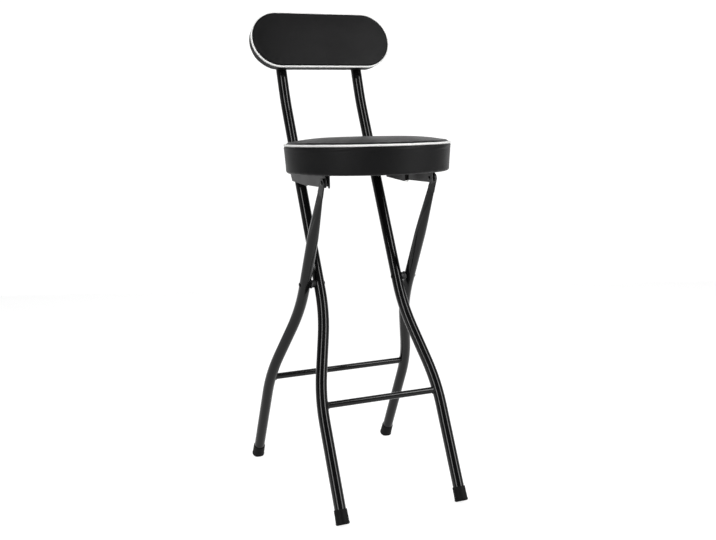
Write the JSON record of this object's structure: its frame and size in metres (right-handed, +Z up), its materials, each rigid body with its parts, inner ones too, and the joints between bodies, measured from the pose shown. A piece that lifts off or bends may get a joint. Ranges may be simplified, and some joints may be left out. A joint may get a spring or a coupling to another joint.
{
  "type": "folding bar stool",
  "caption": "Folding bar stool with a round padded seat, an oblong padded backrest, crossed tubular legs and footrest bars.",
  "frame": {"origin": "on the floor, under the middle of the box around the whole stool", "axes": "+Z up, -Y the way the sitter faces, +X to the right of someone who looks at the front of the backrest along +Y"},
  "size_m": [0.3394, 0.453, 0.958],
  "materials": {
    "black_gloss_steel": "gloss black powder coat",
    "black_rubber": "matt black moulded rubber",
    "black_vinyl": "satin black vinyl upholstery",
    "white_piping": "satin white vinyl cord",
    "foam": "cream upholstery foam",
    "black_cloth": "black non-woven cloth",
    "plywood": "plain birch plywood",
    "zinc": "bright zinc plate",
    "black_plastic": "matt black nylon"
  },
  "bodies": {
    "back_frame": {"front_leg_tube_right": "black_gloss_steel", "front_leg_tube_left": "black_gloss_steel", "front_footrest_bar": "black_gloss_steel", "front_foot_right": "black_rubber", "front_foot_left": "black_rubber", "tube_end_plugs": "black_plastic", "fold_pivot_rivets": "black_gloss_steel", "fold_pivot_spacers": "black_plastic", "seat_hook_pins": "black_gloss_steel", "backrest_board": "plywood", "backrest_foam": "foam", "backrest_side_band": "black_vinyl", "backrest_front_panel": "black_vinyl", "backrest_back_panel": "black_vinyl", "backrest_piping": "white_piping", "backrest_screws": "zinc", "backrest_tee_nuts": "zinc"},
    "rear_legs": {"rear_leg_tube_right": "black_gloss_steel", "rear_leg_tube_left": "black_gloss_steel", "rear_footrest_bar": "black_gloss_steel", "rear_foot_right": "black_rubber", "rear_foot_left": "black_rubber", "seat_pivot_washers": "black_plastic"},
    "seat": {"seat_board": "plywood", "seat_foam": "foam", "seat_side_band": "black_vinyl", "seat_top_panel": "black_vinyl", "seat_piping": "white_piping", "seat_underside_cloth": "black_cloth", "seat_bracket_right": "black_gloss_steel", "seat_bracket_left": "black_gloss_steel", "bracket_screws": "zinc", "seat_pivot_rivets": "black_gloss_steel", "rubber_buffers": "black_rubber", "buffer_screws": "zinc"}
  },
  "joints": [
    {"name": "leg_fold", "type": "hinge", "parent": "back_frame", "child": "rear_legs", "pos_m": [0, -0.01094, 0.41822], "axis": [-1, 0, 0], "range_deg": [0, 45.8]},
    {"name": "seat_tilt", "type": "hinge", "parent": "rear_legs", "child": "seat", "pos_m": [0, -0.12237, 0.622], "axis": [1, 0, 0], "range_deg": [0, 101]}
  ],
  "couplings": [
    {"joint": "seat_tilt", "follows": "leg_fold", "ratio": 2.2}
  ]
}
